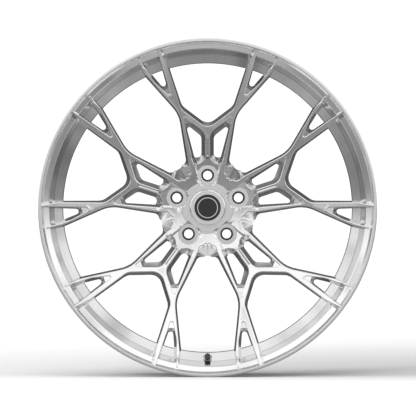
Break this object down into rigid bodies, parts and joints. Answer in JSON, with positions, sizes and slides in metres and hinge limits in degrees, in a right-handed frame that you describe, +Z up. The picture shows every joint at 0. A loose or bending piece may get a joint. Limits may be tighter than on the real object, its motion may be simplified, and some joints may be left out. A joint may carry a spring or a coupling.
{
  "type": "car wheel rim",
  "caption": "Concave forged car wheel with forked spoke clusters, deep barrel, bolt seats, a pull-off centre cap and a tyre valve.",
  "frame": {"origin": "on the wheel axis, half way between the two rim flanges", "axes": "+Z up as the wheel stands, +Y along the axis to the car, so the front faces -Y"},
  "size_m": [0.5937, 0.252, 0.5938],
  "materials": {
    "forged_alloy": "brushed and clear coated forged aluminium",
    "polished_alloy": "turned and polished aluminium",
    "seat_steel": "machined steel",
    "bright_steel": "zinc plated steel",
    "black_plastic": "moulded black plastic",
    "cap_black": "gloss black inlay",
    "black_metal": "black anodised",
    "valve_brass": "turned brass",
    "seal_rubber": "matte black rubber"
  },
  "bodies": {
    "wheel": {"hub": "forged_alloy", "bridge_1": "forged_alloy", "bridge_2": "forged_alloy", "bridge_3": "forged_alloy", "bridge_4": "forged_alloy", "bridge_5": "forged_alloy", "left_arm_1": "forged_alloy", "left_arm_2": "forged_alloy", "left_arm_3": "forged_alloy", "left_arm_4": "forged_alloy", "left_arm_5": "forged_alloy", "right_arm_1": "forged_alloy", "right_arm_2": "forged_alloy", "right_arm_3": "forged_alloy", "right_arm_4": "forged_alloy", "right_arm_5": "forged_alloy", "front_lip": "polished_alloy", "front_seat": "polished_alloy", "well": "forged_alloy", "well_ramp": "forged_alloy", "rear_drum": "forged_alloy", "rear_lip": "forged_alloy", "lug_seat_1": "seat_steel", "lug_seat_2": "seat_steel", "lug_seat_3": "seat_steel", "lug_seat_4": "seat_steel", "lug_seat_5": "seat_steel", "centring_ring": "black_plastic", "valve_stem": "black_metal", "valve_grommet": "seal_rubber", "valve_washer": "bright_steel", "valve_nut": "bright_steel", "valve_core": "valve_brass", "valve_spring": "bright_steel"},
    "cap": {"cap_shell": "polished_alloy", "cap_ring": "cap_black", "cap_badge": "cap_black", "cap_clip": "bright_steel", "cap_seal": "seal_rubber"},
    "valve_pin": {"valve_pin": "valve_brass"},
    "cap_travel": {"valve_cap_seal": "seal_rubber"},
    "valve_cap": {"valve_cap": "black_metal"}
  },
  "joints": [
    {"name": "cap_pull", "type": "slide", "parent": "wheel", "child": "cap", "axis": [0, -1, 0], "range_m": [0, 0.06]},
    {"name": "valve_pin_press", "type": "slide", "parent": "wheel", "child": "valve_pin", "axis": [0, 0.9563, -0.2924], "range_m": [0, 0.0015], "stiffness_N_per_m": 700, "springref_m": -0.0015},
    {"name": "valve_cap_travel", "type": "slide", "parent": "wheel", "child": "cap_travel", "axis": [0, -0.9563, 0.2924], "range_m": [0, 0.00635]},
    {"name": "valve_cap_turn", "type": "hinge", "parent": "cap_travel", "child": "valve_cap", "pos_m": [0, -0.083, -0.265], "axis": [0, -0.9563, 0.2924], "range_deg": [0, 2880]}
  ],
  "couplings": [
    {"joint": "valve_cap_turn", "follows": "valve_cap_travel", "rad_per_m": 7913.3}
  ]
}
